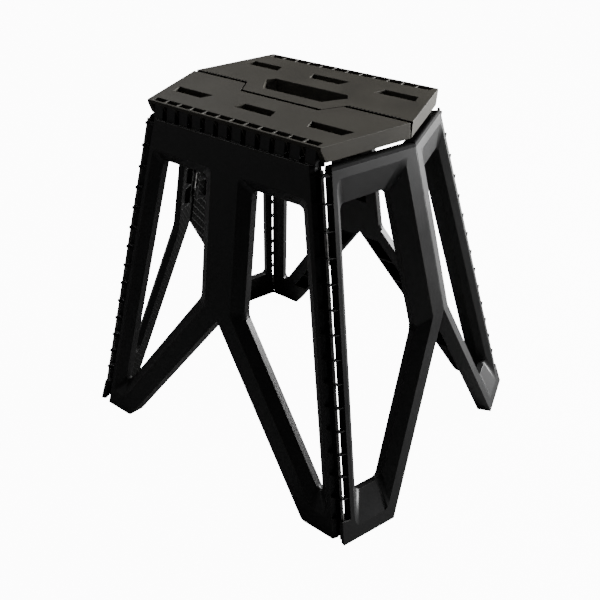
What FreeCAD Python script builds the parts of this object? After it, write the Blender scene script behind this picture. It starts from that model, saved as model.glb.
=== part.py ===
# Folding stool: eight moulded panels and their hinge rods, millimetres, +Z up.
# The origin is on the floor under the middle of the seat, and +X runs to the right-hand tip of the seat.
# The six standing panels lie on the faces of a hexagonal pyramid whose top is far above the seat,
# and every upright hinge line points at that top, which is what lets the stool fold flat.
import FreeCAD, Part
import math
import os
import Sketcher

V = FreeCAD.Vector
doc = FreeCAD.newDocument("FoldingStool")

# Driving sizes
SIZES = {
    # Whole stool
    "seat_height": 450, "apex_height": 1072,
    "seat_edge_length": 260, "seat_depth": 229, "seat_length": 331,
    # Seat halves
    "seat_thickness": 18, "edge_taper": 6.5, "seam_gap": 2.2,
    "slot_rim": 2.6, "slot_rim_depth": 4, "slot_width": 9.2, "slot_pitch": 20.9, "slot_web": 2, "slot_count": 12,
    "tongue_reach": 26, "tongue_half": 60, "tongue_flare": 16,
    "vent_long": 57, "vent_short": 46, "vent_width": 15.5, "vent_spacing": 104, "vent_from_seam": 67,
    "handle_front": 4, "handle_rear": 33, "handle_widest": 23,
    "handle_half_front": 45, "handle_half_middle": 63, "handle_half_rear": 56,
    "seat_cell_depth": 15, "seat_cell_pitch": 26, "seat_cell_rib": 2.4, "seat_cell_count": 9,
    "tip_cell_start": 84, "tip_cell_near": 10, "tip_cell_far": 32, "tip_cell_count": 3, "tip_cell_pitch": 22,
    "outer_cell_near": 77, "outer_cell_far": 99, "inner_cell_near": 37, "inner_cell_far": 56,
    # Standing panels
    "panel_thickness": 18, "panel_skin": 3, "panel_gap": 3, "bevel_depth": 9, "cell_rib": 2.4,
    # Side panels
    "column_half": 21.2, "column_bevel": 15.1, "rail_height": 36, "rail_bevel": 12.8,
    "arch_height": 213, "arch_half": 159, "leg_strip": 25, "leg_bevel": 14.5,
    "corner_strip": 22, "corner_bevel": 13, "foot_pocket": 24.5, "foot_opening": 48,
    "rail_cell_pitch": 27.5, "rail_cell_count": 8, "rail_cell_inset": 6,
    "column_cell_pitch": 33.5, "column_cell_count": 4, "column_wall": 3,
    "leg_cell_start": 45, "leg_cell_pitch": 32.5, "leg_cell_count": 5,
    "side_edge_reach": 10.2, "side_edge_cut": 3.5, "side_edge_cut_depth": 5.5, "side_edge_relief": 1.1,
    # End panels
    "end_drop": 8, "knee_height": 232, "end_foot": 76, "end_top_strip": 10, "end_top_bevel": 28,
    "end_centre_strip": 17.5, "end_centre_bevel": 23.5, "end_leg_strip": 14, "end_leg_bevel": 17,
    "end_corner_strip": 17.5, "end_corner_bevel": 9, "end_foot_pocket": 17, "end_foot_opening": 57,
    "end_edge_relief": 2.4, "end_cell_depth": 6, "end_cell_wall": 4, "end_cell_pitch": 34,
    "end_cell_near": 14, "end_cell_rows": 4, "end_top_cells": 3, "end_top_pitch": 26,
    "toe_depth": 7.5, "toe_side": 5.5, "toe_cut": 1.5, "centre_clearance": 0.3,
    # Hinges
    "rod_radius": 1.75, "rod_clearance": 0.1, "barrel_radius": 3.5, "barrel_gap": 1, "hinge_gap": 1,
    "corner_rod_depth": 4, "edge_rod_depth": 8, "hook_width": 14, "rod_end": 2,
    "rib_thickness": 3, "rib_gap": 0.4, "rib_pitch": 29, "rib_count": 15, "ladder_width": 9, "ladder_foot": 30,
    "corner_rod_start": 13, "foot_barrel_start": 6,
    "rod_channel_gap": 0.4,
    "seam_knuckle": 10, "seam_knuckle_gap": 1, "seam_first": 84, "seam_pairs": 3,
    "centre_knuckle": 12, "centre_knuckle_gap": 1, "centre_pitch": 40, "centre_pairs": 4, "centre_from_top": 20,
    "overrun": 60,
}

sheet = doc.addObject("Spreadsheet::Sheet", "Sizes")
for row, (alias, amount) in enumerate(SIZES.items(), start=1):
    sheet.set(f"A{row}", alias)
    sheet.set(f"B{row}", str(amount))
    sheet.setAlias(f"B{row}", alias)
doc.recompute()
derived = doc.addObject("App::VarSet", "Derived")


class Size:
    """A number together with the formula that binds it to the sheet."""

    def __init__(self, value, text):
        self.value = value
        self.text = text

    def __add__(self, other):
        return combine(self, "+", other, lambda a, b: a + b)

    def __sub__(self, other):
        return combine(self, "-", other, lambda a, b: a - b)

    def __radd__(self, other):
        return combine(other, "+", self, lambda a, b: a + b)

    def __rsub__(self, other):
        return combine(other, "-", self, lambda a, b: a - b)

    def __mul__(self, other):
        return combine(self, "*", other, lambda a, b: a * b)

    def __rmul__(self, other):
        return combine(other, "*", self, lambda a, b: a * b)

    def __truediv__(self, other):
        return combine(self, "/", other, lambda a, b: a / b)

    def __rtruediv__(self, other):
        return combine(other, "/", self, lambda a, b: a / b)

    def __neg__(self):
        return combine(-1, "*", self, lambda a, b: a * b)


def combine(left, sign, right, work):
    values = [item.value if isinstance(item, Size) else item for item in (left, right)]
    texts = [item.text if isinstance(item, Size) else str(item) for item in (left, right)]
    return Size(work(*values), f"({texts[0]} {sign} {texts[1]})")


def root(size):
    return Size(math.sqrt(size.value), f"sqrt({size.text})")


def angle_of(rise, run):
    return Size(math.degrees(math.atan2(rise.value, run.value)), f"atan2({rise.text}; {run.text})")


def through(first, second):
    """The line through two points, its normal on the right-hand side of the way from the first to the second."""
    run = second[0] - first[0]
    rise = second[1] - first[1]
    length = root(run * run + rise * rise)
    return Line(rise / length, -run / length, (rise * first[0] - run * first[1]) / length)


def keep(name, size):
    """Stores a worked-out number in the document under a short name."""
    derived.addProperty("App::PropertyFloat", name, "Geometry")
    derived.setExpression(name, size.text)
    return Size(size.value, f"Derived.{name}")


class Given:
    """The driving sizes by name."""

    def __getattr__(self, alias):
        return Size(float(sheet.get(alias)), f"Sizes.{alias}")


S = Given()
ZERO = Size(0.0, "0")
ONE = Size(1.0, "1")
HALF_TURN = Size(180.0, "180 deg")

# Pyramid: where its faces meet the floor, and the slopes up to its top
spread = keep("spread", S.apex_height / (S.apex_height - S.seat_height))
base_x = keep("base_x", S.seat_edge_length / 2 * spread)
base_y = keep("base_y", S.seat_depth / 2 * spread)
base_tip = keep("base_tip", S.seat_length / 2 * spread)
side_slope = keep("side_slope", root(base_y * base_y + S.apex_height * S.apex_height))
corner_length = keep("corner_length", root(base_x * base_x + side_slope * side_slope))
end_base = keep("end_base", root((base_tip - base_x) * (base_tip - base_x) + base_y * base_y))
end_apex = keep("end_apex", (base_y * base_y - base_x * (base_tip - base_x)) / end_base)
end_slope = keep("end_slope", root(corner_length * corner_length - end_apex * end_apex))
tip_length = keep("tip_length", root(base_tip * base_tip + S.apex_height * S.apex_height))

# Face directions: the side face leans back by base_y over the apex height,
# and the end face points along (1 / base_tip, -end_turn, 1 / apex_height)
end_turn = keep("end_turn", (1 - base_x / base_tip) / base_y)
end_norm = keep("end_norm", root(1 / (base_tip * base_tip) + end_turn * end_turn
                                 + 1 / (S.apex_height * S.apex_height)))
facing = keep("facing", (S.apex_height * end_turn + base_y / S.apex_height) / (side_slope * end_norm))
corner_mitre = keep("corner_mitre", root((1 - facing) / (1 + facing)))
centre_tilt = keep("centre_tilt", end_turn / end_norm)
centre_mitre = keep("centre_mitre", centre_tilt / root(1 - centre_tilt * centre_tilt))
rod_inset = keep("rod_inset", S.corner_rod_depth * corner_mitre)
bore = keep("bore", S.rod_radius + S.rod_clearance)
seat_under = keep("seat_under", S.seat_height - S.seat_thickness)


class Line:
    """A straight line in a panel's plane: across * x + along * y = reach, with a unit normal."""

    def __init__(self, across, along, reach):
        self.across = across
        self.along = along
        self.reach = reach

    def shift(self, distance):
        return Line(self.across, self.along, self.reach + distance)


def meet(first, second):
    spin = first.across * second.along - second.across * first.along
    x = (first.reach * second.along - second.reach * first.along) / spin
    y = (first.across * second.reach - second.across * first.reach) / spin
    return x, y


def level(height):
    return Line(ZERO, ONE, height)


def upright(distance):
    return Line(ONE, ZERO, distance)


def outline(lines):
    """The corners of a closed outline, given its sides in order."""
    return [meet(lines[index - 1], line) for index, line in enumerate(lines)]


def handed(loops, hand):
    """The same outlines, mirrored left to right for a left-handed piece."""
    return loops if hand > 0 else [[(-x, y) for x, y in loop] for loop in loops]


def box(left, right, low, high):
    return [(left, low), (right, low), (right, high), (left, high)]


def plane_of(body, role):
    return [item for item in body.Origin.OriginFeatures if item.Role == role][0]


def attach(body, name, role, lift, turn, at):
    """An empty sketch in one of the body's own planes, lifted, moved in the panel plane or turned about its normal."""
    shape = body.newObject("Sketcher::SketchObject", name)
    shape.AttachmentSupport = [(plane_of(body, role), "")]
    shape.MapMode = "FlatFace"
    if turn is not None:
        shape.AttachmentOffset = FreeCAD.Placement(V(0, 0, 0), FreeCAD.Rotation(V(0, 1, 0), turn.value))
        shape.setExpression("AttachmentOffset.Rotation.Angle", turn.text)
    if at is not None:
        shape.setExpression("AttachmentOffset.Base.x", at[0].text)
        shape.setExpression("AttachmentOffset.Base.z", (-at[1]).text)
    if lift is not None:
        shape.setExpression("AttachmentOffset.Base.z", lift.text)
    return shape


def bind(shape, rules):
    """Adds constraints in one go and ties each one that carries a size to its formula."""
    first = shape.addConstraint([Sketcher.Constraint(kind, *where, *([size.value] if size else []))
                                 for kind, size, where in rules])[0]
    for number, (kind, size, where) in enumerate(rules, start=first):
        if size:
            shape.setExpression(f"Constraints[{number}]", size.text)


def sketch(body, name, loops, role="XY_Plane", lift=None, turn=None, at=None):
    """Closed polygons, every corner bound to the sizes."""
    shape = attach(body, name, role, lift, turn, at)
    lines = []
    rules = []
    for loop in loops:
        first = len(lines)
        for index, (x, y) in enumerate(loop):
            after = loop[(index + 1) % len(loop)]
            lines.append(Part.LineSegment(V(x.value, y.value, 0), V(after[0].value, after[1].value, 0)))
            rules.append(("Coincident", None, (first + index, 2, first + (index + 1) % len(loop), 1)))
            rules.append(("DistanceX", x, (-1, 1, first + index, 1)))
            rules.append(("DistanceY", y, (-1, 1, first + index, 1)))
    shape.addGeometry(lines, False)
    bind(shape, rules)
    return shape


def round_sketch(body, name, x, y, radius, role="YZ_Plane", turn=None, at=None):
    shape = attach(body, name, role, None, turn, at)
    shape.addGeometry(Part.Circle(V(x.value, y.value, 0), V(0, 0, 1), radius.value), False)
    bind(shape, [("DistanceX", x, (-1, 1, 0, 3)), ("DistanceY", y, (-1, 1, 0, 3)), ("Radius", radius, (0,))])
    return shape


def pad(body, name, profile, length, reverse=False, both=False):
    feature = body.newObject("PartDesign::Pad", name)
    feature.Profile = profile
    feature.setExpression("Length", length.text)
    feature.Reversed = reverse
    feature.Midplane = both
    return feature


def pocket(body, name, profile, length, reverse=False, both=False):
    feature = body.newObject("PartDesign::Pocket", name)
    feature.Profile = profile
    feature.setExpression("Length", length.text)
    feature.Reversed = reverse
    feature.Midplane = both
    return feature


def funnel(body, name, wide, narrow):
    feature = body.newObject("PartDesign::SubtractiveLoft", name)
    feature.Profile = wide
    feature.Sections = [narrow]
    feature.Ruled = True
    return feature


def row_of(body, name, features, guide, pitch, count, reverse=False):
    feature = body.newObject("PartDesign::LinearPattern", name)
    feature.Originals = features
    feature.Direction = (guide, ["N_Axis"])
    feature.Mode = "Spacing"
    feature.Reversed = reverse
    feature.setExpression("Offset", pitch.text)
    feature.setExpression("Occurrences", count.text)
    body.Tip = feature
    return feature


def eye(x, y, reach, side):
    """A closed knuckle with a square hole round the rod at (x, y); its root lies at x - side * reach."""
    barrel = S.barrel_radius
    rim = [(x - side * reach, y - barrel), (x + side * barrel, y - barrel),
           (x + side * barrel, y + barrel), (x - side * reach, y + barrel)]
    return [rim, box(x - bore, x + bore, y - bore, y + bore)]


def hook(x, y, reach, side):
    """A snap-on knuckle: open on the inner side by a little less than the rod."""
    barrel = S.barrel_radius
    lip = bore / 2
    return [[(x - side * reach, y + barrel), (x + side * barrel, y + barrel),
             (x + side * barrel, y - barrel), (x + side * lip, y - barrel),
             (x + side * lip, y - bore), (x + side * bore, y - bore), (x + side * bore, y + bore),
             (x - side * bore, y + bore), (x - side * bore, y - barrel), (x - side * reach, y - barrel)]]


def barrel_round(x, y):
    """A short six-sided barrel with a square hole round the rod."""
    full = S.barrel_radius
    half = full / math.sqrt(3)
    rim = [(x - half, y - full), (x + half, y - full), (x + half * 2, y), (x + half, y + full),
           (x - half, y + full), (x - half * 2, y)]
    return [rim, box(x - bore, x + bore, y - bore, y + bore)]


def wedge(shift, slope):
    """The region beyond a slanting edge face: shift at the outer face, running inwards by slope per depth."""
    far = S.overrun
    return [(shift, ZERO), (shift + slope * far, -far), (-far, -far), (-far, ZERO)]


def stand(body, x, y, turn, tilt):
    """Binds the body's place: its own plane stands on the floor at (x, y), turned and tilted back."""
    where = f"create(<<vector>>; {x.text}; {y.text}; 0)"
    body.setExpression("Placement", f"create(<<placement>>; {where}; "
                                    f"create(<<rotation>>; {turn.text}; 0; {tilt.text}))")


def new_body(name):
    body = doc.addObject("PartDesign::Body", name)
    body.Label = name
    return body


# Side panels, in their own plane: x along the floor, y up the slope, the outer face at z = 0
side_rise = keep("side_rise", side_slope / S.apex_height)
side_lean = keep("side_lean", base_y / S.apex_height)
side_top = keep("side_top", (seat_under - S.panel_gap) * side_rise)
edge_rod_up = keep("edge_rod_up", (S.seat_height - S.edge_rod_depth) * side_rise
                   + S.edge_rod_depth * side_lean)
edge_rod_in = keep("edge_rod_in", base_y - edge_rod_up * base_y / side_slope
                   - S.edge_rod_depth * S.apex_height / side_slope)
side_corner = Line(side_slope / corner_length, base_x / corner_length, side_slope * base_x / corner_length)
leg_line = through((ZERO, S.arch_height), (S.arch_half, ZERO))
leg_line = Line(-leg_line.across, -leg_line.along, -leg_line.reach)
side_turn = angle_of(base_x, side_slope)
reveal = S.panel_thickness - S.panel_skin
slot_span = S.slot_pitch * S.slot_count


def across(line):
    """The mirror image of a line, left to right."""
    return Line(-line.across, line.along, line.reach)


def on_side_corner(distance, hand):
    """A point of the side panel's corner line, so far up from the floor."""
    share = distance / corner_length
    return hand * (base_x - share * base_x), share * side_slope


def side_window(body, tag, hand):
    top = level(side_top - S.rail_height)
    face = [upright(S.column_half), leg_line.shift(S.leg_strip), level(S.foot_pocket),
            side_corner.shift(-S.corner_strip), top]
    deep = [upright(S.column_half + S.column_bevel), leg_line.shift(S.leg_strip + S.leg_bevel),
            level(S.foot_opening), side_corner.shift(-S.corner_strip - S.corner_bevel),
            top.shift(-S.rail_bevel)]
    wide = sketch(body, f"{tag}_face", handed([outline(face)], hand))
    narrow = sketch(body, f"{tag}_deep", handed([outline(deep)], hand), lift=-S.bevel_depth)
    funnel(body, f"{tag}_bevel", wide, narrow)
    opening = sketch(body, f"{tag}_opening", handed([outline(deep)], hand))
    pocket(body, f"{tag}_window", opening, S.panel_thickness)


def side_cells():
    """The hollows of the ribbed back: top rail, middle column and the two slanting legs."""
    rail, column, right, left_side = [], [], [], []
    low = side_top - S.rail_height + S.column_wall
    high = side_top - S.rail_cell_inset
    for index in range(SIZES["rail_cell_count"]):
        left = S.rail_cell_pitch * (index - S.rail_cell_count / 2) + S.cell_rib / 2
        rail.append(box(left, left + S.rail_cell_pitch - S.cell_rib, low, high))
    half = S.column_half - S.column_wall
    for index in range(SIZES["column_cell_count"]):
        high = side_top - S.rail_height - S.column_cell_pitch * index
        column.append(box(-half, half, high - S.column_cell_pitch + S.cell_rib, high))
    for index in range(SIZES["leg_cell_count"]):
        low = S.leg_cell_start + S.leg_cell_pitch * index
        lines = [leg_line.shift(S.column_wall), level(low), leg_line.shift(S.leg_strip - S.column_wall),
                 level(low + S.leg_cell_pitch - S.cell_rib)]
        right.append(outline(lines))
        left_side += handed([outline(lines)], -1)
    return [rail, column, right, left_side]


def side_panel(name, hand):
    body = new_body(name)
    floor = level(ZERO)
    border = [level(side_top), side_corner, floor, leg_line, across(leg_line), floor, across(side_corner)]
    plate = sketch(body, f"{name}_plate", [outline(border)])
    pad(body, f"{name}_body", plate, S.panel_thickness, reverse=True)
    foot = [(ZERO, ZERO), (S.overrun * side_lean, -S.overrun), (-S.overrun, -S.overrun), (-S.overrun, ZERO)]
    pocket(body, f"{name}_foot", sketch(body, f"{name}_foot_cut", [foot], role="YZ_Plane"),
           base_x * 3, both=True)
    for index, loops in enumerate(side_cells()):
        cells = sketch(body, f"{name}_cells_{index}", loops, lift=-S.panel_thickness)
        pocket(body, f"{name}_ribs_{index}", cells, reveal, reverse=True)
    for tag, side in (("right", 1), ("left", -1)):
        cut = [[(-x, y) for x, y in loop] for loop in [wedge(S.side_edge_relief, corner_mitre)]]
        edge = -rod_inset - S.side_edge_reach
        lines = [[(edge - S.side_edge_cut, S.overrun), (edge - S.side_edge_cut, ZERO),
                  (edge, -S.side_edge_cut_depth), (edge, -S.overrun),
                  (S.overrun, -S.overrun), (S.overrun, S.overrun)]]
        for part, loops in (("edge", lines), ("mitre", cut)):
            shape = sketch(body, f"{name}_{tag}_{part}_cut", handed(loops, side), role="XZ_Plane",
                           turn=side_turn * side, at=on_side_corner(ZERO, side))
            pocket(body, f"{name}_{tag}_{part}", shape, corner_length * 2, both=True)
        side_window(body, f"{name}_{tag}", side)
    first = S.slot_pitch * (1 - S.slot_count) / 2
    shape = sketch(body, f"{name}_top_hook",
                   hook(edge_rod_up, -S.edge_rod_depth, edge_rod_up - side_top + S.rod_end, 1),
                   role="YZ_Plane", lift=first)
    start = pad(body, f"{name}_hook", shape, S.hook_width, both=True)
    row_of(body, f"{name}_hooks", [start], shape, S.slot_pitch, S.slot_count)
    for tag, side in (("right", 1), ("left", -1)):
        place = S.ladder_foot + S.rib_thickness + S.rib_gap
        loops = hook(-rod_inset, -S.corner_rod_depth, S.side_edge_reach + S.side_edge_cut, 1)
        shape = sketch(body, f"{name}_{tag}_hook", handed(loops, side), role="XZ_Plane",
                       turn=side_turn * side, at=on_side_corner(place, side))
        start = pad(body, f"{name}_{tag}_knuckle", shape, S.rib_thickness, both=True)
        row_of(body, f"{name}_{tag}_knuckles", [start], shape, S.rib_pitch, S.rib_count, reverse=True)
    stand(body, ZERO, -base_y * hand, ZERO if hand > 0 else HALF_TURN,
          angle_of(S.apex_height, base_y))
    return body


# End panels, in their own plane: x from the corner towards the tip, y up the slope, the outer face at z = 0
end_rise = keep("end_rise", end_slope / S.apex_height)
end_lean = keep("end_lean", root(end_rise * end_rise - 1))
end_top = keep("end_top", (seat_under - S.end_drop) * end_rise)
end_knee = keep("end_knee", S.knee_height * end_rise)
end_corner = Line(-end_slope / corner_length, end_apex / corner_length, ZERO)
end_centre = Line(end_slope / tip_length, (end_base - end_apex) / tip_length,
                  end_slope * end_base / tip_length)
lower_edge = through((S.end_foot, ZERO), meet(end_centre, level(end_knee)))
corner_turn = angle_of(-end_apex, end_slope)
centre_turn = angle_of(end_base - end_apex, end_slope)
centre_rod_depth = S.panel_thickness + S.hinge_gap
centre_rod_in = keep("centre_rod_in", centre_mitre * centre_rod_depth)


def on_end_corner(distance, hand):
    share = distance / corner_length
    return hand * share * end_apex, share * end_slope


def on_end_centre(height, hand):
    """The point of the end panel's centre line at this height up the slope."""
    share = height / end_slope
    return hand * (end_base - share * (end_base - end_apex)), height


def end_window(body, tag, hand):
    bar = end_corner.shift(-S.end_corner_strip)
    face = [bar, level(S.end_foot_pocket), lower_edge.shift(-S.end_leg_strip),
            end_centre.shift(-S.end_centre_strip), level(end_top - S.end_top_strip)]
    deep = [bar.shift(-S.end_corner_bevel), level(S.end_foot_opening),
            lower_edge.shift(-S.end_leg_strip - S.end_leg_bevel),
            end_centre.shift(-S.end_centre_strip - S.end_centre_bevel),
            level(end_top - S.end_top_strip - S.end_top_bevel)]
    wide = sketch(body, f"{tag}_face", handed([outline(face)], hand))
    narrow = sketch(body, f"{tag}_deep", handed([outline(deep)], hand), lift=-S.bevel_depth)
    funnel(body, f"{tag}_bevel", wide, narrow)
    opening = sketch(body, f"{tag}_opening", handed([outline(deep)], hand))
    pocket(body, f"{tag}_window", opening, S.panel_thickness)


def end_cells():
    """Shallow hollows behind the bevels: along the top and down the centre strip."""
    loops = []
    wall = S.end_cell_wall
    bar = end_corner.shift(-S.end_corner_strip - S.end_corner_bevel)
    inner = end_centre.shift(-S.end_centre_strip - S.end_centre_bevel + wall)
    outer = end_centre.shift(-S.end_cell_near)
    top = end_top - wall * 2
    low = end_top - S.end_top_strip - S.end_top_bevel + wall
    for index in range(SIZES["end_top_cells"]):
        left = bar.shift(-S.end_top_pitch * index)
        right = bar.shift(-S.end_top_pitch * (index + 1) + S.cell_rib)
        loops.append(outline([left, level(low), right, level(top)]))
    for index in range(SIZES["end_cell_rows"]):
        high = low - wall - S.end_cell_pitch * index
        loops.append(outline([inner, level(high - S.end_cell_pitch + S.cell_rib), outer, level(high)]))
    return loops


def centre_spot(kind):
    """Height up the slope of the first centre knuckle of one panel."""
    return end_top - S.centre_from_top - (S.centre_knuckle + S.centre_knuckle_gap) * kind


def end_panel(name, x, y, turn, hand, keeps_rod):
    body = new_body(name)
    border = [level(end_top), end_corner, level(ZERO), lower_edge, end_centre]
    plate = sketch(body, f"{name}_plate", handed([outline(border)], hand))
    pad(body, f"{name}_body", plate, S.panel_thickness, reverse=True)
    foot = [(ZERO, ZERO), (S.overrun * end_lean, -S.overrun), (-S.overrun, -S.overrun), (-S.overrun, ZERO)]
    pocket(body, f"{name}_foot", sketch(body, f"{name}_foot_cut", [foot], role="YZ_Plane"),
           end_base * 3, both=True)
    bar = rod_inset + S.ladder_width
    far = S.overrun
    straight = [(bar, far), (-far, far), (-far, -far), (bar, -far)]
    gap = -S.centre_clearance
    seam = [(gap, far), (gap, ZERO), (gap - centre_mitre * far, -far), (far, -far), (far, far)]
    toe = [(bar, -far), (bar, -S.toe_depth), (S.toe_cut, -S.toe_depth), (ZERO, -S.toe_side),
           (-far, -S.toe_side), (-far, -far)]
    foot_top = on_end_corner(S.ladder_foot, hand)
    mitre = wedge(S.end_edge_relief, corner_mitre)
    for tag, loop, below in (("edge", straight, False), ("mitre", mitre, False), ("toe", toe, True)):
        shape = sketch(body, f"{name}_{tag}_cut", handed([loop], hand), role="XZ_Plane",
                       turn=corner_turn * hand, at=foot_top)
        pocket(body, f"{name}_{tag}", shape, corner_length, reverse=below)
    shape = sketch(body, f"{name}_seam_cut", handed([seam], hand), role="XZ_Plane",
                   turn=centre_turn * hand, at=on_end_centre(end_knee, hand))
    pocket(body, f"{name}_seam", shape, corner_length * 2, both=True)
    relief = S.barrel_radius + S.barrel_gap
    centre = (-centre_rod_in, -centre_rod_depth)
    spare = S.centre_knuckle_gap * 2
    own, other = (1, 0) if keeps_rod else (0, 1)
    groove = S.rod_radius + S.rod_channel_gap
    channel = [box(centre[0] - groove, far, centre[1] - far, centre[1] + groove)]
    shape = sketch(body, f"{name}_channel_cut", handed(channel, hand), role="XZ_Plane",
                   turn=centre_turn * hand, at=on_end_centre(end_knee, hand))
    pocket(body, f"{name}_channel", shape, corner_length * 2, both=True)
    notch = [box(centre[0] - relief, far, centre[1] - far, centre[1] + relief)]
    shape = sketch(body, f"{name}_relief_cut", handed(notch, hand), role="XZ_Plane",
                   turn=centre_turn * hand, at=on_end_centre(centre_spot(other), hand))
    cut = pocket(body, f"{name}_relief", shape, S.centre_knuckle + spare, both=True)
    row_of(body, f"{name}_reliefs", [cut], shape, S.centre_pitch, S.centre_pairs)
    loops = barrel_round(*centre) if keeps_rod else cradle(*centre)
    shape = sketch(body, f"{name}_knuckle_outline", handed(loops, hand), role="XZ_Plane",
                   turn=centre_turn * hand, at=on_end_centre(centre_spot(own), hand))
    bump = pad(body, f"{name}_knuckle", shape, S.centre_knuckle, both=True)
    row_of(body, f"{name}_knuckles", [bump], shape, S.centre_pitch, S.centre_pairs)
    end_window(body, name, hand)
    cells = sketch(body, f"{name}_cells", handed(end_cells(), hand), lift=-S.panel_thickness)
    pocket(body, f"{name}_ribs", cells, S.end_cell_depth, reverse=True)
    loops = eye(rod_inset, -S.corner_rod_depth, S.ladder_width + S.rod_end, -1)
    shape = sketch(body, f"{name}_arm_outline", handed(loops, hand), role="XZ_Plane",
                   turn=corner_turn * hand, at=on_end_corner(S.ladder_foot, hand))
    arm = pad(body, f"{name}_arm", shape, S.rib_thickness, both=True)
    row_of(body, f"{name}_arms", [arm], shape, S.rib_pitch, S.rib_count, reverse=True)
    shape = sketch(body, f"{name}_foot_barrel_outline", handed(loops[:1], hand), role="XZ_Plane",
                   turn=corner_turn * hand, at=on_end_corner(S.foot_barrel_start, hand))
    pad(body, f"{name}_foot_barrel", shape, S.ladder_foot - S.foot_barrel_start, reverse=True)
    shape = sketch(body, f"{name}_rod_hole", handed(loops[1:], hand), role="XZ_Plane",
                   turn=corner_turn * hand, at=on_end_corner(S.corner_rod_start - S.barrel_gap, hand))
    pocket(body, f"{name}_rod_bore", shape, S.ladder_foot - S.corner_rod_start + S.barrel_gap)
    stand(body, x, y, turn, angle_of(S.apex_height, S.apex_height * end_lean))
    return body


def cradle(x, y):
    """Half a knuckle, open towards the other panel, which leaves it while the stool folds."""
    full = S.barrel_radius
    half = full * (math.sqrt(2) - 1)
    return [[(x - full, y - half), (x - bore, y - half), (x - bore, y + bore), (x + half, y + bore),
             (x + half, y + full), (x - half, y + full), (x - full, y + half)]]


def centre_rod(name, x, y, turn, hand):
    body = new_body(name)
    top = end_top - S.centre_from_top + S.centre_knuckle / 2 + S.rod_end
    step = S.centre_knuckle + S.centre_knuckle_gap
    length = S.centre_pitch * (S.centre_pairs - 1) + step + S.centre_knuckle + S.rod_end * 2
    shape = round_sketch(body, f"{name}_round", -centre_rod_in * hand, -centre_rod_depth, S.rod_radius,
                         role="XZ_Plane", turn=centre_turn * hand, at=on_end_centre(top, hand))
    pad(body, f"{name}_bar", shape, length)
    stand(body, x, y, turn, angle_of(S.apex_height, S.apex_height * end_lean))
    return body


def corner_rod(name, x, y, turn, hand):
    body = new_body(name)
    shape = round_sketch(body, f"{name}_round", rod_inset * hand, -S.corner_rod_depth, S.rod_radius,
                         role="XZ_Plane", turn=corner_turn * hand, at=on_end_corner(S.corner_rod_start, hand))
    length = S.ladder_foot + S.rib_pitch * (S.rib_count - 1) + S.rib_thickness * 2 + S.rod_end - S.corner_rod_start
    pad(body, f"{name}_bar", shape, length, reverse=True)
    stand(body, x, y, turn, angle_of(S.apex_height, S.apex_height * end_lean))
    return body


# Seat halves, drawn in place: x to the right, y to the back
seat_corner_run = (S.seat_length - S.seat_edge_length) / 2
seat_half = S.seat_depth / 2
rod_line = keep("rod_line", edge_rod_in)
slot_inner = keep("slot_inner", seat_half - S.slot_rim - S.slot_width)


def seam_line(shift):
    """The edge of the tongue from the left tip to the right tip, moved by shift along y."""
    half = S.tongue_half
    wide = half + S.tongue_flare
    reach = S.tongue_reach
    side = shift * S.tongue_flare / reach
    return [(-wide - side, shift), (-half - side, shift - reach), (half + side, shift - reach), (wide + side, shift)]


def seat_outline(hand, shift):
    tip = S.seat_length / 2 - seat_corner_run * S.seam_gap / 2 / seat_half
    corner = S.seat_edge_length / 2
    seam = seam_line(shift)
    ends = [(-tip, seam[0][1])] + seam + [(tip, seam[0][1])]
    return ends + [(corner, seat_half * hand), (-corner, seat_half * hand)]


def slots(hand, low, high):
    loops = []
    for index in range(SIZES["slot_count"]):
        left = S.slot_pitch * (index - S.slot_count / 2) + S.slot_web / 2
        loop = box(left, left + S.slot_pitch - S.slot_web, low * hand, high * hand)
        loops.append(loop)
    return loops


def vents(hand):
    loops = []
    for index in range(3):
        middle = S.vent_spacing * (index - 1)
        near, far = (S.vent_short, S.vent_long) if index == 1 else (S.vent_long, S.vent_short)
        low = (S.vent_from_seam - S.vent_width / 2) * hand
        high = (S.vent_from_seam + S.vent_width / 2) * hand
        loops.append([(middle - near / 2, low), (middle + near / 2, low),
                      (middle + far / 2, high), (middle - far / 2, high)])
    return loops


def handle():
    """The hand grip opening, its sides running like those of the tongue."""
    right = [(S.handle_half_front, -S.handle_front), (S.handle_half_middle, S.handle_widest),
             (S.handle_half_rear, S.handle_rear)]
    return right + [(-x, y) for x, y in reversed(right)]


def seat_cells(hand):
    rows = []
    for near, far in ((S.inner_cell_near, S.inner_cell_far), (S.outer_cell_near, S.outer_cell_far)):
        loops = []
        for index in range(SIZES["seat_cell_count"]):
            left = S.seat_cell_pitch * (index - S.seat_cell_count / 2) + S.seat_cell_rib / 2
            loops.append(box(left, left + S.seat_cell_pitch - S.seat_cell_rib, near * hand, far * hand))
        rows.append(loops)
    loops = []
    for index in range(SIZES["tip_cell_count"]):
        left = S.tip_cell_start + S.tip_cell_pitch * index
        loop = box(left, left + S.tip_cell_pitch - S.seat_cell_rib, S.tip_cell_near * hand, S.tip_cell_far * hand)
        loops.append(loop)
        loops += handed([loop], -1)
    return rows + [loops]


def seam_spot(kind):
    """Where the first seam knuckle of one half begins."""
    return S.seam_first + (S.seam_knuckle + S.seam_knuckle_gap) * kind


seam_rod_length = keep("seam_rod_length", (S.seam_knuckle + S.seam_knuckle_gap) * (S.seam_pairs * 2 - 1)
                       + S.seam_knuckle + S.rod_end * 2)
seam_rod_middle = keep("seam_rod_middle", S.seam_first - S.rod_end + seam_rod_length / 2)


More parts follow.
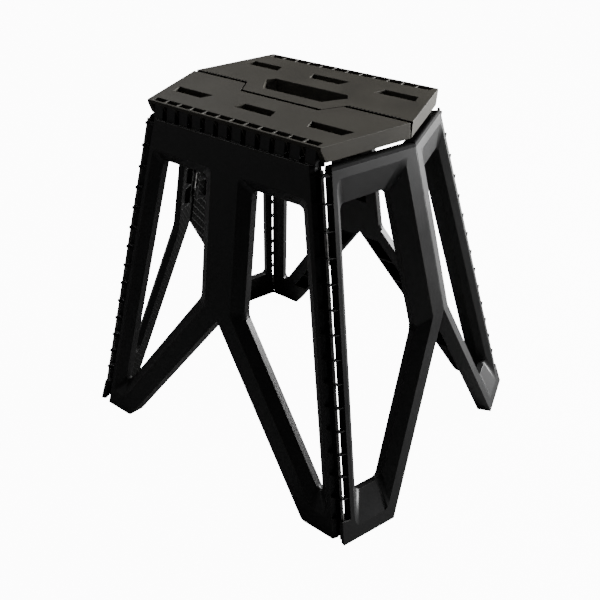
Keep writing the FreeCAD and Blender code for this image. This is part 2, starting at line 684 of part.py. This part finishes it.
def seat(name, hand):
    body = new_body(name)
    shift = S.seam_gap / 2 * hand
    plate = sketch(body, f"{name}_plate", [seat_outline(hand, shift)], lift=seat_under)
    pad(body, f"{name}_body", plate, S.seat_thickness)
    axis = seat_under - S.hinge_gap
    relief = S.barrel_radius + S.barrel_gap
    notch = [box(-relief, relief, axis - relief, axis + relief)]
    own, other = (1, 0) if hand > 0 else (0, 1)
    step = (S.seam_knuckle + S.seam_knuckle_gap) * 2
    spare = S.seam_knuckle_gap * 2
    groove = S.rod_radius + S.rod_channel_gap
    channel = [box(-groove, groove, axis - groove, axis + groove)]
    for side, tag in ((1, "right"), (-1, "left")):
        shape = sketch(body, f"{name}_{tag}_channel_cut", channel, role="YZ_Plane", lift=seam_rod_middle * side)
        pocket(body, f"{name}_{tag}_channel", shape, seam_rod_length + S.barrel_gap, both=True)
        middle = (seam_spot(other) + S.seam_knuckle / 2) * side
        shape = sketch(body, f"{name}_{tag}_relief_cut", notch, role="YZ_Plane", lift=middle)
        cut = pocket(body, f"{name}_{tag}_relief", shape, S.seam_knuckle + spare, both=True)
        row_of(body, f"{name}_{tag}_reliefs", [cut], shape, step, S.seam_pairs, reverse=side < 0)
        middle = (seam_spot(own) + S.seam_knuckle / 2) * side
        shape = sketch(body, f"{name}_{tag}_knuckle_outline", barrel_round(ZERO, axis), role="YZ_Plane",
                       lift=middle)
        bump = pad(body, f"{name}_{tag}_knuckle", shape, S.seam_knuckle, both=True)
        row_of(body, f"{name}_{tag}_knuckles", [bump], shape, step, S.seam_pairs, reverse=side < 0)
    openings = vents(hand) + ([handle()] if hand > 0 else [])
    through_holes = sketch(body, f"{name}_openings", openings, lift=S.seat_height)
    pocket(body, f"{name}_vents", through_holes, S.seat_thickness)
    for index, loops in enumerate(seat_cells(hand)):
        cells = sketch(body, f"{name}_cells_{index}", loops, lift=seat_under)
        pocket(body, f"{name}_ribs_{index}", cells, S.seat_cell_depth, reverse=True)
    outer = seat_half - S.slot_rim
    upper = sketch(body, f"{name}_slots_top", slots(hand, slot_inner, outer), lift=S.seat_height)
    pocket(body, f"{name}_slots", upper, S.slot_rim_depth)
    lower = sketch(body, f"{name}_slots_under", slots(hand, slot_inner, seat_half + S.overrun), lift=seat_under)
    pocket(body, f"{name}_slot_mouths", lower, S.seat_thickness - S.slot_rim_depth, reverse=True)
    rim_under = S.seat_height - S.slot_rim_depth
    beyond = (seat_half + S.overrun) * hand
    slant = [(seat_half * hand, rim_under), ((seat_half - S.edge_taper) * hand, seat_under),
             (beyond, seat_under), (beyond, rim_under)]
    shape = sketch(body, f"{name}_slant", [slant], role="YZ_Plane")
    pocket(body, f"{name}_long_side", shape, S.seat_length, both=True)
    tunnel = box(rod_line * hand - bore, rod_line * hand + bore,
                 S.seat_height - S.edge_rod_depth - bore, S.seat_height - S.edge_rod_depth + bore)
    shape = sketch(body, f"{name}_rod_seat", [tunnel], role="YZ_Plane")
    pocket(body, f"{name}_rod_bore", shape, slot_span + S.rod_end * 3, both=True)
    return body


def seat_rod(name, hand):
    """The long rod through the webs of one seat edge."""
    body = new_body(name)
    shape = round_sketch(body, f"{name}_round", rod_line * hand, S.seat_height - S.edge_rod_depth, S.rod_radius)
    pad(body, f"{name}_bar", shape, slot_span + S.rod_end * 2, both=True)
    return body


def seam_rod(name, side):
    body = new_body(name)
    shape = round_sketch(body, f"{name}_round", ZERO, seat_under - S.hinge_gap, S.rod_radius)
    shape.setExpression("AttachmentOffset.Base.z", (seam_rod_middle * side).text)
    pad(body, f"{name}_bar", shape, seam_rod_length, both=True)
    return body


end_yaw = angle_of(base_y, base_tip - base_x)
CORNERS = {
    "front_right": (base_x, -base_y, end_yaw, 1, False),
    "rear_right": (base_x, base_y, HALF_TURN - end_yaw, -1, True),
    "front_left": (-base_x, -base_y, -end_yaw, -1, False),
    "rear_left": (-base_x, base_y, end_yaw - HALF_TURN, 1, True),
}
pieces = [seat("seat_front_half", -1), seat("seat_rear_half", 1)]
pieces += [side_panel("side_panel_front", 1), side_panel("side_panel_rear", -1)]
for where, (x, y, turn, hand, keeps_rod) in CORNERS.items():
    pieces.append(end_panel(f"end_panel_{where}", x, y, turn, hand, keeps_rod))
    pieces.append(corner_rod(f"corner_rod_{where}", x, y, turn, hand))
    if keeps_rod:
        pieces.append(centre_rod(f"end_centre_rod_{where.split('_')[1]}", x, y, turn, hand))
pieces += [seat_rod("seat_edge_rod_front", -1), seat_rod("seat_edge_rod_rear", 1)]
pieces += [seam_rod("seat_seam_rod_right", 1), seam_rod("seat_seam_rod_left", -1)]

doc.recompute()
for item in doc.Objects:
    if {"Invalid", "Error"} & set(item.State):
        raise RuntimeError(f"{item.Name} did not build: {item.State}")
os.makedirs("parts", exist_ok=True)
for piece in pieces:
    if piece.Shape.isNull() or not piece.Shape.isValid() or len(piece.Shape.Solids) != 1:
        raise RuntimeError(f"{piece.Label} is not one sound solid")
    piece.Shape.exportStep(f"parts/{piece.Label}.step")
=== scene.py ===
"""Looks of the folding stool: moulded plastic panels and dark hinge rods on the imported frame."""
import math

import bmesh
import bpy
from mathutils import Matrix, Vector


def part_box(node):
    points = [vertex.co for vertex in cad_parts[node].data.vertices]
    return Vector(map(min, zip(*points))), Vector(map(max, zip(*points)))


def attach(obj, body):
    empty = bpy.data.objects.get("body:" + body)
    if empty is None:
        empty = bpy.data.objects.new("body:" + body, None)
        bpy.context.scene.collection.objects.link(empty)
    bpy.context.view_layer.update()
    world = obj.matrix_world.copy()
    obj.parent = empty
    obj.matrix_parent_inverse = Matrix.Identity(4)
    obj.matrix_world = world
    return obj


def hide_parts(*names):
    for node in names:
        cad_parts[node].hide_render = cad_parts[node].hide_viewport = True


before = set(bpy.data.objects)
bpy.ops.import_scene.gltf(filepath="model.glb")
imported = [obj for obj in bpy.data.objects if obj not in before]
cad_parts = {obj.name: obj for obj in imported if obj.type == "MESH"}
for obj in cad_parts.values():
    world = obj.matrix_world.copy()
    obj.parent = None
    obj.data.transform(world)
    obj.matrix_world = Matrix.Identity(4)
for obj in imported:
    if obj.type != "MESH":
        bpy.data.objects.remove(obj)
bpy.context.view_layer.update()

# Lengths are in metres.
MM = 0.001

# Front and rear, right and left: which way each lies, and its name
ROWS = ((-1, "front"), (1, "rear"))
HANDS = ((1, "right"), (-1, "left"))

# Working the frame's shapes: what counts as one point, as one flat face, and as a corner
WELD = 0.02 * MM
FLAT_ANGLE = math.radians(0.6)
CORNER_ANGLE = math.radians(15)
FACING_UP = 0.9

# Where the materials of a worked piece stand in its list, after its own plastic: painted shade,
# then the ribbed back in painted shade
PAINTED_SHADE, SHADED_BACK = 1, 2

# The pyramid that the standing panels lie on: its top, and its corners and tip on the floor
APEX = Vector((0.0, 0.0, 1072.0)) * MM
BASE_X, BASE_Y, BASE_TIP = 224.05 * MM, 197.34 * MM, 285.24 * MM

# Windows and feet of the standing panels. Depths are whole millimetres below the outer face:
# a window's corner runs down the bevel of its surround, and then down its straight wall.
WINDOW_DEPTHS = ([0, 9], [9, 18])
WINDOW_ROUND, WINDOW_STEPS = 5.0 * MM, 5
FOOT_ROUND, FOOT_STEPS = 4.0 * MM, 3
FOOT_HEIGHT, FOOT_DEPTH = 14.0 * MM, 12
FACING_BACK = -0.98

# The ladders of rungs and hooks round the corner rods, measured up the corner line
ARM_START, HOOK_START = 30.0 * MM, 33.4 * MM
RUNG_PITCH, RUNG_COUNT = 29.0 * MM, 15
RUNG_HALF, RUNG_REACH = 1.6 * MM, 16.5 * MM
RUNG_LEAN, RUNG_SLIM = 0.9 * MM, 0.4
WRAP_NEAR, WRAP_FAR, WRAP_SHRINK = 3.0 * MM, 5.4 * MM, 0.28
HOOKS_ABOVE = 429.4 * MM

# The raised rim on top of an end panel, in painted shade: each step's inset and height, and how
# deep its top reaches
TOP_RIM = ((0.6 * MM, 3.2 * MM), (1.2 * MM, 1.2 * MM))
TOP_NEAR = 4.0 * MM

# The rim on the inner half of each side panel's top edge, a piece in painted shade: from and to,
# across and up
RIM_IN, RIM_OUT = 101.0 * MM, 104.4 * MM
RIM_LOW, RIM_HIGH = 424.5 * MM, 431.0 * MM
RIM_LENGTH = 250.0 * MM
RIM_ROUND, RIM_STEPS = 1.0 * MM, 3

# The seam of the seat: it steps round the rear half's tongue, and opens by this much on each side
SEAT_TOP = 450.0 * MM
TONGUE_HALF, TONGUE_FLARE, TONGUE_REACH = 60.0 * MM, 16.0 * MM, 26.0 * MM
SEAM_NEAR, SEAM_DEEP, SEAM_ANGLE = 2.4 * MM, 0.1 * MM, 1.0
SEAM_OPEN = 1.5 * MM

# The comb of small lugs along the straight parts of the seam, in painted shade
LUG_FIRST, LUG_PITCH, LUG_COUNT = 80.0 * MM, 5.2 * MM, 14
LUG_SIZE = (2.6 * MM, 3.0 * MM, 3.0 * MM)
LUG_OFF, LUG_PROUD = 3.6 * MM, 0.12 * MM
LUG_ROUND, LUG_STEPS = 0.35 * MM, 2

# Finish of the plastic and the wire: sizes and depths of their texture
GRAIN, GRAIN_DEPTH = 0.55 * MM, 0.08 * MM
EDGE_ROUND, EDGE_SAMPLES = 0.9 * MM, 6
CLOUDS = (0.3, 0.7)
ROUGH_LESS, ROUGH_MORE = 0.04, 0.05
SCUFF_GAIN = 0.35
RIB_WAYS = ((0.0, 0.80, 0.60), (0.0, -0.80, 0.60))
RIB_SPACING, RIB_DEPTH = 7.0 * MM, 1.2 * MM
DRAWN_DEPTH = 0.03 * MM

# Linear tones, matched to the photograph
SEAT_TONE = (0.0325, 0.0292, 0.0215)
SIDE_TONE = (0.0072, 0.0069, 0.0072)
END_TONE = (0.009, 0.009, 0.0093)
# Painted shade: the backs of the end panels, darker than their own plastic
SHADED_BACK_TONE = (0.0050, 0.0050, 0.0048)
# Painted shade: a near-black tone for seams, hooks, rims and lugs that lie in shade
SHADE_TONE = (0.0015, 0.0015, 0.0016)
ROD_TONE = (0.14, 0.137, 0.133)
FLOOR_TONE = (0.16, 0.16, 0.16, 1.0)
WHITE = (1.0, 1.0, 1.0, 1.0)

# The floor's size and glow, and the camera of the photograph, from a fit to the stool's corners
FLOOR_SIZE, FLOOR_GLOW = 6.0, 12.0
EYE = Vector((596.4, -709.4, 755.9)) * MM
HEADING, TILT, ROLL = math.radians(40.0), math.radians(32.83), math.radians(-1.62)
FOCAL_PIXELS, PHOTO_PIXELS, SENSOR = 794.2, 600.0, 36.0


# Nodes
def node(tree, kind, inputs=(), **settings):
    """Adds a node, sets its properties, and fills or links the inputs given by name or number."""
    made = tree.nodes.new(kind)
    for name, value in settings.items():
        setattr(made, name, value)
    for key, value in dict(inputs).items():
        if isinstance(value, bpy.types.NodeSocket):
            tree.links.new(value, made.inputs[key])
        else:
            made.inputs[key].default_value = value
    return made


def maths(tree, operation, *values):
    """The result of a Math node."""
    return node(tree, "ShaderNodeMath", enumerate(values), operation=operation).outputs[0]


def ramp(tree, value, start=0.0, stop=1.0, low=0.0, high=1.0):
    """A value mapped from start and stop to low and high, and held between them."""
    return node(tree, "ShaderNodeMapRange",
                {"Value": value, "From Min": start, "From Max": stop,
                 "To Min": low, "To Max": high}).outputs[0]


def along(tree, one, other):
    """How far one direction or place goes along another."""
    return node(tree, "ShaderNodeVectorMath", {0: one, 1: other},
                operation="DOT_PRODUCT").outputs["Value"]


def shaded(tree, tone, amount):
    """A tone made darker or paler by an amount that changes over the surface."""
    return node(tree, "ShaderNodeVectorMath", {0: tone, "Scale": amount},
                operation="SCALE").outputs[0]


def own_place(tree):
    """Coordinates in the piece's own frame."""
    return node(tree, "ShaderNodeTexCoord").outputs["Object"]


def noise(tree, place, **inputs):
    """A noise texture at this place, its inputs given by name."""
    return node(tree, "ShaderNodeTexNoise", {"Vector": place, **inputs}).outputs[0]


def new_group(name, inputs, outputs):
    """An empty node group with typed sockets; returns the tree and its two end nodes."""
    tree = bpy.data.node_groups.new(name, "ShaderNodeTree")
    for label, kind, start in inputs:
        made = tree.interface.new_socket(label, in_out="INPUT", socket_type=kind)
        made.default_value = start
    for label, kind in outputs:
        tree.interface.new_socket(label, in_out="OUTPUT", socket_type=kind)
    return tree, tree.nodes.new("NodeGroupInput"), tree.nodes.new("NodeGroupOutput")


def edge_group():
    """How near a point lies to an edge, 0 on flats to 1 on the edge, and the rounded normal."""
    tree, start, end = new_group(
        "rounded_edges",
        [("Radius", "NodeSocketFloat", EDGE_ROUND)],
        [("Edge", "NodeSocketFloat"), ("Normal", "NodeSocketVector")])
    bevel = node(tree, "ShaderNodeBevel", {"Radius": start.outputs["Radius"]},
                 samples=EDGE_SAMPLES).outputs[0]
    true = node(tree, "ShaderNodeNewGeometry").outputs["Normal"]
    edge = ramp(tree, along(tree, bevel, true), start=0.999, stop=0.86)
    tree.links.new(edge, end.inputs["Edge"])
    tree.links.new(bevel, end.inputs["Normal"])
    return tree


def mould_group():
    """Moulded plastic in the object's own coordinates: fine grain, slow cloudiness and scuffs."""
    tree, start, end = new_group(
        "moulded_plastic",
        [("Grain", "NodeSocketFloat", GRAIN), ("Seed", "NodeSocketFloat", 0.0)],
        [("Height", "NodeSocketFloat"), ("Cloud", "NodeSocketFloat"), ("Scuff", "NodeSocketFloat")])
    place = node(tree, "ShaderNodeVectorMath",
                 {0: own_place(tree), 1: start.outputs["Seed"]}).outputs[0]
    fine = maths(tree, "DIVIDE", 1.0, start.outputs["Grain"])
    pits = node(tree, "ShaderNodeTexVoronoi", {"Vector": place, "Scale": fine},
                feature="SMOOTH_F1")
    pits.inputs["Smoothness"].default_value = 0.6
    height = maths(tree, "ADD", pits.outputs["Distance"],
                   noise(tree, place, Scale=fine, Detail=3.0))
    cloud = noise(tree, place, Scale=14.0, Detail=4.0, Roughness=0.6)
    stretched = node(tree, "ShaderNodeMapping",
                     {"Vector": place, "Rotation": (0.4, 0.2, 0.7),
                      "Scale": (40.0, 900.0, 300.0)}).outputs[0]
    lines = ramp(tree, noise(tree, stretched, Scale=1.0, Detail=2.0), start=0.66, stop=0.74)
    patch = ramp(tree, cloud, start=0.50, stop=0.66)
    tree.links.new(height, end.inputs["Height"])
    tree.links.new(cloud, end.inputs["Cloud"])
    tree.links.new(maths(tree, "MULTIPLY", lines, patch), end.inputs["Scuff"])
    return tree


def group(tree, of, **inputs):
    """Places a node group with its own values."""
    made = node(tree, "ShaderNodeGroup", node_tree=of)
    for name, value in inputs.items():
        made.inputs[name].default_value = value
    return made


# Materials
def new_material(name):
    """An empty material; returns it with its tree and its output node."""
    made = bpy.data.materials.new(name)
    made.use_nodes = True
    tree = made.node_tree
    tree.nodes.clear()
    return made, tree, tree.nodes.new("ShaderNodeOutputMaterial")


def crossed_ribs(tree):
    """Two rows of fine parallel ribs that cross: 0 between them, 1 along their tops."""
    place = own_place(tree)
    rows = []
    for way in RIB_WAYS:
        turns = maths(tree, "MULTIPLY", along(tree, place, way), math.tau / RIB_SPACING)
        rows.append(ramp(tree, maths(tree, "SINE", turns), start=0.55, stop=0.9))
    return maths(tree, "MAXIMUM", *rows)


def plastic(name, tone, roughness, bump, seed, edge_highlight=1.6, gloss=0.5, ribbed=False):
    """Satin to matt moulded plastic.

    It has grain, a clouded tone, a painted highlight along its edges, a few scuffs, and fine
    crossed ribs if asked, with painted shade between the ribs and painted highlight on their tops.
    """
    made, tree, out = new_material(name)
    edges = group(tree, EDGES, Radius=EDGE_ROUND)
    mould = group(tree, MOULDED, Grain=GRAIN, Seed=seed)
    cloud = mould.outputs["Cloud"]
    clouded = ramp(tree, cloud, *CLOUDS, low=0.86, high=1.16)
    # Painted highlight: the edges made paler, varied by the clouds
    painted_edge_highlight = maths(tree, "MULTIPLY", edges.outputs["Edge"], cloud)
    gain = maths(tree, "MULTIPLY", clouded, ramp(tree, painted_edge_highlight, stop=0.6, low=1.0, high=edge_highlight))
    scuffs_and_edge_highlight = maths(tree, "MULTIPLY_ADD", mould.outputs["Scuff"], SCUFF_GAIN, gain)
    colour = shaded(tree, tone, scuffs_and_edge_highlight)
    rough = ramp(tree, cloud, *CLOUDS, low=roughness - ROUGH_LESS, high=roughness + ROUGH_MORE)
    surface = node(tree, "ShaderNodeBump",
                   {"Strength": bump, "Distance": GRAIN_DEPTH, "Height": mould.outputs["Height"],
                    "Normal": edges.outputs["Normal"]}).outputs[0]
    if ribbed:
        ribs = crossed_ribs(tree)
        surface = node(tree, "ShaderNodeBump",
                       {"Strength": 0.9, "Distance": RIB_DEPTH, "Height": ribs,
                        "Normal": surface}).outputs[0]
        # Painted shade between the ribs and painted highlight along their tops
        colour = shaded(tree, colour, ramp(tree, ribs, low=0.25, high=1.3))
    shader = node(tree, "ShaderNodeBsdfPrincipled", {
        "Base Color": colour, "Roughness": rough, "Normal": surface,
        "IOR": 1.49, "Specular IOR Level": gloss})
    tree.links.new(shader.outputs[0], out.inputs["Surface"])
    return made


def dark_steel(name):
    """Blackened wire: faint drawing lines along it and brighter rubbed spots."""
    made, tree, out = new_material(name)
    place = own_place(tree)
    drawn = noise(tree, place, Scale=900.0, Detail=2.0)
    spots = noise(tree, place, Scale=120.0, Detail=3.0)
    rubbed = ramp(tree, spots, start=0.45, stop=0.75, low=0.8, high=2.2)
    surface = node(tree, "ShaderNodeBump",
                   {"Strength": 0.2, "Distance": DRAWN_DEPTH, "Height": drawn}).outputs[0]
    shader = node(tree, "ShaderNodeBsdfPrincipled", {
        "Base Color": shaded(tree, ROD_TONE, rubbed), "Metallic": 0.25,
        "Roughness": ramp(tree, drawn, low=0.32, high=0.5), "Normal": surface})
    tree.links.new(shader.outputs[0], out.inputs["Surface"])
    return made


EDGES = edge_group()
MOULDED = mould_group()
SEAT_PLASTIC = plastic("seat_plastic", SEAT_TONE, roughness=0.56, bump=0.55, seed=0.0)
SIDE_PLASTIC = plastic("side_plastic", SIDE_TONE, roughness=0.44, bump=0.30, seed=3.1)
END_PLASTIC = plastic("end_plastic", END_TONE, roughness=0.44, bump=0.30, seed=7.3)
# Painted shade: the end panels' backs, ribbed, with painted shade between the ribs
SHADED_BACK_PLASTIC = plastic("ribbed_shaded_back_plastic", SHADED_BACK_TONE, roughness=0.55, bump=0.30, seed=9.1,
                       gloss=0.2, ribbed=True)
# Painted shade: the same plastic made near black where parts lie in shade
SHADOWED_PLASTIC = plastic("shadowed_plastic", SHADE_TONE, roughness=0.60, bump=0.30, seed=5.7,
                           edge_highlight=1.0, gloss=0.08)
ROD_STEEL = dark_steel("rod_steel")


# Shapes
def merged(name):
    """A copy of a node's shape, its loose triangles merged and its flat faces joined."""
    shape = bmesh.new()
    shape.from_mesh(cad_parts[name].data)
    bmesh.ops.remove_doubles(shape, verts=shape.verts, dist=WELD)
    bmesh.ops.dissolve_limit(shape, angle_limit=FLAT_ANGLE, verts=shape.verts, edges=shape.edges)
    shape.normal_update()
    return shape


def rounded(shape, edges, radius, steps):
    """Rounds these edges, and shades the new faces smooth while the flat ones stay flat."""
    made = bmesh.ops.bevel(shape, geom=edges, offset=radius, offset_type="OFFSET", segments=steps,
                           profile=0.5, affect="EDGES", clamp_overlap=False, material=-1)
    for face in made["faces"]:
        face.smooth = True
    shape.normal_update()


def edges_above(shape, height):
    """The edges that lie wholly above a height."""
    return [edge for edge in shape.edges if min(vert.co.z for vert in edge.verts) > height]


def finished(shape, name, body, stands_for, materials):
    """The worked shape as a piece on its body, in the place of a node if one is named."""
    mesh = bpy.data.meshes.new(name)
    shape.to_mesh(mesh)
    shape.free()
    for material in materials:
        mesh.materials.append(material)
    piece = bpy.data.objects.new(name, mesh)
    bpy.context.collection.objects.link(piece)
    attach(piece, body)
    if stands_for:
        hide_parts(stands_for)


def floor_corner(right, rear):
    """A corner of the pyramid on the floor."""
    return Vector((BASE_X * right, BASE_Y * rear, 0.0))


def slim_ladder(shape, rod, foot, first, lean):
    """Slims the rungs round a corner rod and closes them round it; returns their vertices."""
    low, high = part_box(rod)
    centre = (Vector(low) + Vector(high)) / 2
    way = (APEX - foot).normalized()
    rungs = set()
    for vert in shape.verts:
        height = (vert.co - foot).dot(way)
        off = vert.co - centre
        off -= way * off.dot(way)
        number = round((height - first) / RUNG_PITCH)
        middle = first + number * RUNG_PITCH
        on_rung = 0 <= number < RUNG_COUNT and abs(height - middle) <= RUNG_HALF
        if not on_rung or off.length > RUNG_REACH:
            continue
        if WRAP_NEAR < off.length < WRAP_FAR:
            vert.co -= off * WRAP_SHRINK
        vert.co += way * (middle + lean - height + (height - middle) * RUNG_SLIM)
        rungs.add(vert)
    return rungs


def outer_face(first, second):
    """Which way a standing panel faces; its outer face runs through these two floor points."""
    outward = (second - first).cross(APEX - first).normalized()
    return -outward if outward.dot(first) < 0.0 else outward


def panel_corners(shape, outward):
    """The edges in the corners of a panel's windows, and those of its feet."""
    windows, feet = [], []
    for edge in shape.edges:
        if len(edge.link_faces) != 2 or edge.calc_face_angle(0.0) < CORNER_ANGLE:
            continue
        depths = sorted(round(-(vert.co - APEX).dot(outward) / MM) for vert in edge.verts)
        highest = max(vert.co.z for vert in edge.verts)
        if depths in WINDOW_DEPTHS and not edge.is_convex:
            windows.append(edge)
        elif depths[1] - depths[0] > FOOT_DEPTH and edge.is_convex and highest < FOOT_HEIGHT:
            feet.append(edge)
    return windows, feet


def raise_top(shape):
    """A raised rim along a panel's top face, drawn in once on its way up, in painted shade."""
    for inset, height in TOP_RIM:
        highest = max(vert.co.z for vert in shape.verts)
        top = [face for face in shape.faces if face.normal.z > FACING_UP
               and face.calc_center_median().z > highest - TOP_NEAR]
        made = bmesh.ops.inset_region(shape, faces=top, thickness=inset, depth=height,
                                      use_even_offset=True)
        # Painted shade on the rim
        for face in made["faces"] + top:
            face.material_index = PAINTED_SHADE


def side_panel(rear, word):
    """A side panel with rounded windows and feet, slim ladders and hooks in painted shade."""
    name = f"side_panel_{word}"
    shape = merged(name)
    rungs = set()
    for right, hand in HANDS:
        rungs |= slim_ladder(shape, f"corner_rod_{word}_{hand}", floor_corner(right, rear),
                             HOOK_START, -RUNG_LEAN)
    # Painted shade: the hooks and everything above them take the near-black plastic
    for face in shape.faces:
        if all(vert in rungs or vert.co.z > HOOKS_ABOVE for vert in face.verts):
            face.material_index = PAINTED_SHADE
    outward = outer_face(floor_corner(-1, rear), floor_corner(1, rear))
    windows, feet = panel_corners(shape, outward)
    rounded(shape, windows, WINDOW_ROUND, WINDOW_STEPS)
    rounded(shape, feet, FOOT_ROUND, FOOT_STEPS)
    finished(shape, f"{name}_moulding", f"side_{word}", name,
             [SIDE_PLASTIC, SHADOWED_PLASTIC])


def end_panel(right, rear, word, hand):
    """An end panel with rounded windows, a slim ladder, a ribbed back in painted shade and a rim on
    top in painted shade.
    """
    name = f"end_panel_{word}_{hand}"
    shape = merged(name)
    foot = floor_corner(right, rear)
    slim_ladder(shape, f"corner_rod_{word}_{hand}", foot, ARM_START, RUNG_LEAN)
    outward = outer_face(foot, Vector((BASE_TIP * right, 0.0, 0.0)))
    windows, _ = panel_corners(shape, outward)
    rounded(shape, windows, WINDOW_ROUND, WINDOW_STEPS)
    # Painted shade on the back faces
    for face in shape.faces:
        if face.normal.dot(outward) < FACING_BACK:
            face.material_index = SHADED_BACK
    raise_top(shape)
    finished(shape, f"{name}_moulding", f"end_{word}_{hand}", name,
             [END_PLASTIC, SHADOWED_PLASTIC, SHADED_BACK_PLASTIC])


def side_rim(away, word):
    """A rounded rim along the inner half of a side panel's top edge, behind the hooks, in painted
    shade.
    """
    shape = bmesh.new()
    bmesh.ops.create_cube(shape, size=1.0)
    for vert in shape.verts:
        across = RIM_OUT if vert.co.y > 0.0 else RIM_IN
        height = RIM_HIGH if vert.co.z > 0.0 else RIM_LOW
        vert.co = Vector((vert.co.x * RIM_LENGTH, across * away, height))
    bmesh.ops.recalc_face_normals(shape, faces=shape.faces)
    rounded(shape, edges_above(shape, RIM_LOW), RIM_ROUND, RIM_STEPS)
    finished(shape, f"side_{word}_top_rim", f"side_{word}", None, [SHADOWED_PLASTIC])


def seam_at(x):
    """Where the seam runs at this distance from the middle of the seat."""
    flare = (TONGUE_HALF + TONGUE_FLARE - abs(x)) / TONGUE_FLARE
    return -TONGUE_REACH * min(1.0, max(0.0, flare))


def on_seam(place):
    """Whether a place on the seat lies beside the seam."""
    return abs(place.y - seam_at(place.x)) < SEAM_NEAR


def seat_half(away, word):
    """A seat half with its seam edge moved away from the other half, and painted shade on the faces
    in the seam.
    """
    name = f"seat_{word}_half"
    shape = merged(name)
    seam = set()
    for edge in shape.edges:
        near = all(on_seam(vert.co) and vert.co.z > SEAT_TOP - SEAM_DEEP for vert in edge.verts)
        if near and len(edge.link_faces) == 2 and edge.calc_face_angle(0.0) > SEAM_ANGLE:
            seam.update(edge.verts)
    for vert in seam:
        vert.co.y += SEAM_OPEN * away
    # Painted shade on the seam's walls
    for face in shape.faces:
        if on_seam(face.calc_center_median()) and face.normal.z < FACING_UP:
            face.material_index = PAINTED_SHADE
    finished(shape, f"{name}_moulding", f"seat_{word}", name,
             [SEAT_PLASTIC, SHADOWED_PLASTIC])


def seam_comb():
    """Small lugs in painted shade on both straight parts of the seam, on the edge of the rear half.
    """
    shape = bmesh.new()
    height = SEAT_TOP + LUG_PROUD - LUG_SIZE[2] / 2
    for side in (-1, 1):
        for number in range(LUG_COUNT):
            place = Vector(((LUG_FIRST + LUG_PITCH * number) * side, LUG_OFF, height))
            made = bmesh.ops.create_cube(shape, size=1.0)["verts"]
            bmesh.ops.scale(shape, vec=LUG_SIZE, verts=made)
            bmesh.ops.translate(shape, vec=place, verts=made)
    rounded(shape, edges_above(shape, SEAT_TOP), LUG_ROUND, LUG_STEPS)
    finished(shape, "seat_seam_comb", "seat_rear", None, [SHADOWED_PLASTIC])


def dress(start, material):
    """Gives one material to the frame's nodes whose names start with these words."""
    for name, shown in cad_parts.items():
        if name.startswith(start):
            shown.data.materials.clear()
            shown.data.materials.append(material)


for rear, word in ROWS:
    side_panel(rear, word)
    for right, hand in HANDS:
        end_panel(right, rear, word, hand)
for rear, word in ROWS:
    seat_half(rear, word)
for rear, word in ROWS:
    side_rim(rear, word)
seam_comb()
dress(("corner_rod", "end_centre_rod", "seat_edge_rod", "seat_seam_rod"), ROD_STEEL)
dress(("seat_front_half", "seat_rear_half"), SEAT_PLASTIC)
dress("side_panel", SIDE_PLASTIC)
dress("end_panel", END_PLASTIC)


# Floor, light and camera
def pale_floor():
    """A wide white floor, bright for the camera and dimmer in what it throws on the stool."""
    shape = bmesh.new()
    bmesh.ops.create_grid(shape, x_segments=1, y_segments=1, size=FLOOR_SIZE)
    mesh = bpy.data.meshes.new("floor")
    shape.to_mesh(mesh)
    shape.free()
    floor = bpy.data.objects.new("floor", mesh)
    bpy.context.collection.objects.link(floor)
    made, tree, out = new_material("pale_floor")
    path = node(tree, "ShaderNodeLightPath")
    lit = node(tree, "ShaderNodeBsdfDiffuse", {"Color": FLOOR_TONE}).outputs[0]
    glow = node(tree, "ShaderNodeEmission", {"Strength": FLOOR_GLOW}).outputs[0]
    seen = node(tree, "ShaderNodeAddShader", {0: lit, 1: glow}).outputs[0]
    shader = node(tree, "ShaderNodeMixShader",
                  {0: path.outputs["Is Camera Ray"], 1: lit, 2: seen})
    tree.links.new(shader.outputs[0], out.inputs["Surface"])
    floor.data.materials.append(made)


def soft_box(name, place, target, size, power):
    """A rectangular soft light at a place, turned to a target."""
    data = bpy.data.lights.new(name, "AREA")
    data.shape = "RECTANGLE"
    data.size, data.size_y = size
    data.energy = power
    made = bpy.data.objects.new(name, data)
    bpy.context.collection.objects.link(made)
    made.location = place
    made.rotation_euler = (Vector(target) - Vector(place)).to_track_quat("-Z", "Y").to_euler()


def white_world(seen, cast):
    """White behind the stool, and a dimmer studio in what falls on it."""
    world = bpy.data.worlds.new("studio")
    bpy.context.scene.world = world
    world.use_nodes = True
    tree = world.node_tree
    path = node(tree, "ShaderNodeLightPath")
    strength = ramp(tree, path.outputs["Is Camera Ray"], low=cast, high=seen)
    back = tree.nodes["Background"]
    tree.links.new(strength, back.inputs["Strength"])
    back.inputs["Color"].default_value = WHITE


def photo_camera():
    """The camera of the photograph, with the picture's own width of view."""
    back = Vector((math.sin(HEADING) * math.cos(TILT), -math.cos(HEADING) * math.cos(TILT),
                   math.sin(TILT)))
    level = Vector((math.cos(HEADING), math.sin(HEADING), 0.0))
    up = back.cross(level)
    right = level * math.cos(ROLL) + up * math.sin(ROLL)
    up = back.cross(right)
    data = bpy.data.cameras.new("photo_camera")
    data.sensor_width = SENSOR
    data.lens = FOCAL_PIXELS / PHOTO_PIXELS * SENSOR
    made = bpy.data.objects.new("photo_camera", data)
    bpy.context.collection.objects.link(made)
    turn = Matrix((right, up, back)).transposed()
    made.matrix_world = Matrix.Translation(EYE) @ turn.to_4x4()
    bpy.context.scene.camera = made


pale_floor()
white_world(seen=12.0, cast=0.03)
soft_box("top", place=(-1.1, 0.2, 2.1), target=(0, 0, 0.3), size=(1.3, 1.3), power=26.0)
soft_box("right", place=(0.95, 1.30, 0.72), target=(0, 0, 0.4), size=(0.7, 0.7), power=104.0)
soft_box("front", place=(-1.3, -1.8, 0.6), target=(-0.25, -0.2, 0.05), size=(1.2, 0.8), power=1.0)
photo_camera()
